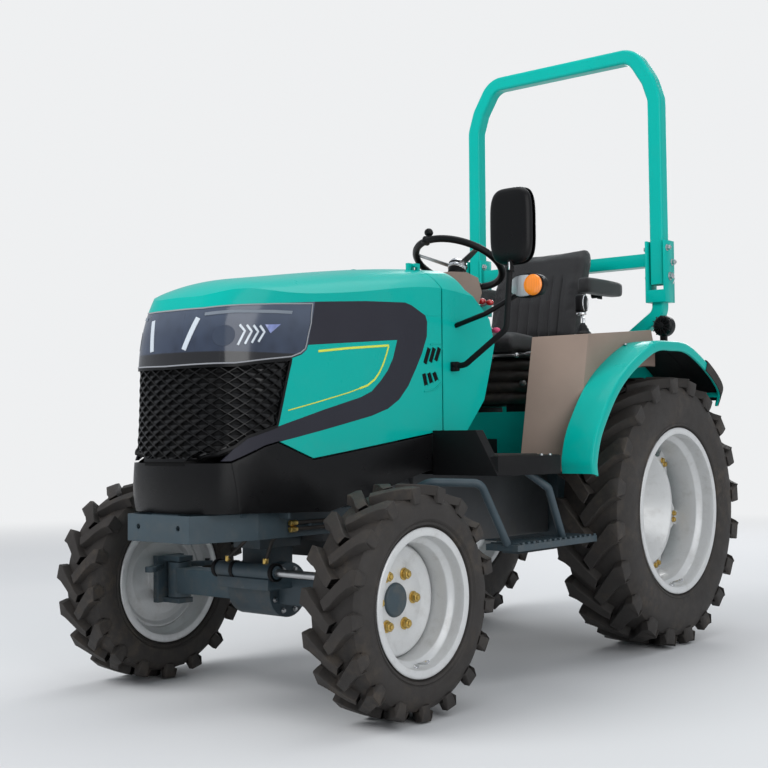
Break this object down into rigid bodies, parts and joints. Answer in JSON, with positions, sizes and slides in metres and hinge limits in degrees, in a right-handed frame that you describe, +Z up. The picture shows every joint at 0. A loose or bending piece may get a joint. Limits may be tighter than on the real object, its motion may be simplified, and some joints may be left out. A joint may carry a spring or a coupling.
{
  "type": "compact tractor",
  "caption": "Compact four-wheel-drive tractor with flip-up hood, open operator station, folding roll hoop, steered front wheels and a rear three-point linkage.",
  "frame": {"origin": "on the ground, under the centre of the tractor's length and width", "axes": "+Z up, nose towards -Y, the driver's left side towards +X"},
  "size_m": [1.33, 2.9059, 2.49],
  "materials": {
    "teal_paint": "gloss",
    "black_plastic": "satin",
    "band_plastic": "grained",
    "taupe_plastic": "satin",
    "chassis_paint": "satin",
    "black_paint": "satin",
    "engine_paint": "matte",
    "silver_paint": "satin",
    "tyre_rubber": "matte",
    "seat_vinyl": "matte",
    "bright_steel": "brushed",
    "lamp_lens": "gloss",
    "amber_lens": "gloss",
    "black_trim": "satin"
  },
  "bodies": {
    "chassis": {"engine": "engine_paint", "gearbox": "chassis_paint", "rear_axle": "chassis_paint", "pto_shaft": "bright_steel", "drawbar": "chassis_paint", "front_frame": "chassis_paint", "front_axle": "chassis_paint", "radiator": "black_paint", "nose_cover": "black_plastic", "side_skirts": "black_plastic", "cowl": "teal_paint", "firewall": "black_paint", "dashboard": "taupe_plastic", "platform": "black_paint", "steps": "chassis_paint", "fenders": "teal_paint", "fender_consoles": "taupe_plastic", "seat_deck": "teal_paint", "seat_base": "black_paint", "seat_cushion": "seat_vinyl", "seat_back": "seat_vinyl", "armrests": "seat_vinyl", "steering_column": "black_paint", "rops_posts": "teal_paint", "mirror": "black_trim", "indicators": "amber_lens", "tail_lights": "amber_lens", "gear_lever": "black_trim", "pedals": "black_paint"},
    "hood": {"hood_top": "teal_paint", "hood_sides": "teal_paint", "hood_bands": "band_plastic", "grille": "black_plastic", "headlights": "lamp_lens"},
    "steering_wheel": {"steering_wheel": "black_trim"},
    "knuckle_left": {"knuckle_left": "chassis_paint"},
    "knuckle_right": {"knuckle_right": "chassis_paint"},
    "tie_rod": {"tie_rod": "black_paint"},
    "steering_rod": {"steering_rod": "bright_steel"},
    "front_wheel_left": {"front_rim_left": "silver_paint", "front_tyre_left": "tyre_rubber"},
    "front_wheel_right": {"front_rim_right": "silver_paint", "front_tyre_right": "tyre_rubber"},
    "rear_wheel_left": {"rear_rim_left": "silver_paint", "rear_tyre_left": "tyre_rubber"},
    "rear_wheel_right": {"rear_rim_right": "silver_paint", "rear_tyre_right": "tyre_rubber"},
    "rops_hoop": {"rops_hoop": "teal_paint"},
    "lift_arms": {"lift_arms": "chassis_paint"},
    "lift_rods": {"lift_rods": "bright_steel"},
    "lower_links": {"lower_links": "chassis_paint"},
    "top_link": {"top_link": "chassis_paint"}
  },
  "joints": [
    {"name": "hood_lift", "type": "hinge", "parent": "chassis", "child": "hood", "pos_m": [0, -0.375, 1.457], "axis": [-1, 0, 0], "range_deg": [0, 55]},
    {"name": "steer_left", "type": "hinge", "parent": "chassis", "child": "knuckle_left", "pos_m": [0.43, -0.987, 0.35], "axis": [0, 0, 1], "range_deg": [-40, 40]},
    {"name": "steer_right", "type": "hinge", "parent": "chassis", "child": "knuckle_right", "pos_m": [-0.43, -0.987, 0.35], "axis": [0, 0, 1], "range_deg": [-40, 40]},
    {"name": "tie_rod_swing", "type": "hinge", "parent": "knuckle_left", "child": "tie_rod", "pos_m": [0.43, -0.857, 0.385], "axis": [0, 0, 1], "range_deg": [-40, 40]},
    {"name": "steering_rod_slide", "type": "slide", "parent": "chassis", "child": "steering_rod", "axis": [1, 0, 0], "range_m": [-0.084, 0.084]},
    {"name": "steering_wheel_turn", "type": "hinge", "parent": "chassis", "child": "steering_wheel", "pos_m": [0, 0.083, 1.5], "axis": [0, 0.454, 0.891], "range_deg": [-520, 520]},
    {"name": "front_left_spin", "type": "hinge", "parent": "knuckle_left", "child": "front_wheel_left", "pos_m": [0.565, -0.987, 0.35], "axis": [1, 0, 0], "continuous": true},
    {"name": "front_right_spin", "type": "hinge", "parent": "knuckle_right", "child": "front_wheel_right", "pos_m": [-0.565, -0.987, 0.35], "axis": [1, 0, 0], "continuous": true},
    {"name": "rear_left_spin", "type": "hinge", "parent": "chassis", "child": "rear_wheel_left", "pos_m": [0.515, 0.693, 0.535], "axis": [1, 0, 0], "continuous": true},
    {"name": "rear_right_spin", "type": "hinge", "parent": "chassis", "child": "rear_wheel_right", "pos_m": [-0.515, 0.693, 0.535], "axis": [1, 0, 0], "continuous": true},
    {"name": "rops_fold", "type": "hinge", "parent": "chassis", "child": "rops_hoop", "pos_m": [0, 0.889, 1.5], "axis": [-1, 0, 0], "range_deg": [0, 100]},
    {"name": "hitch_lift", "type": "hinge", "parent": "chassis", "child": "lift_arms", "pos_m": [0, 0.813, 0.8], "axis": [1, 0, 0], "range_deg": [-15, 50]},
    {"name": "lower_links_swing", "type": "hinge", "parent": "chassis", "child": "lower_links", "pos_m": [0, 0.813, 0.43], "axis": [1, 0, 0], "range_deg": [-10, 33]},
    {"name": "lift_rods_swing", "type": "hinge", "parent": "lift_arms", "child": "lift_rods", "pos_m": [0, 0.998, 0.835], "axis": [1, 0, 0], "range_deg": [-45, 15]},
    {"name": "top_link_swing", "type": "hinge", "parent": "chassis", "child": "top_link", "pos_m": [0, 0.895, 0.745], "axis": [1, 0, 0], "range_deg": [-25, 40]}
  ],
  "couplings": [
    {"joint": "steer_right", "follows": "steer_left", "ratio": 1},
    {"joint": "tie_rod_swing", "follows": "steer_left", "ratio": -1},
    {"joint": "steering_rod_slide", "follows": "steer_left", "m_per_rad": 0.11969},
    {"joint": "steering_wheel_turn", "follows": "steer_left", "ratio": 13},
    {"joint": "lower_links_swing", "follows": "hitch_lift", "ratio": 0.642},
    {"joint": "lift_rods_swing", "follows": "hitch_lift", "ratio": -0.878}
  ]
}
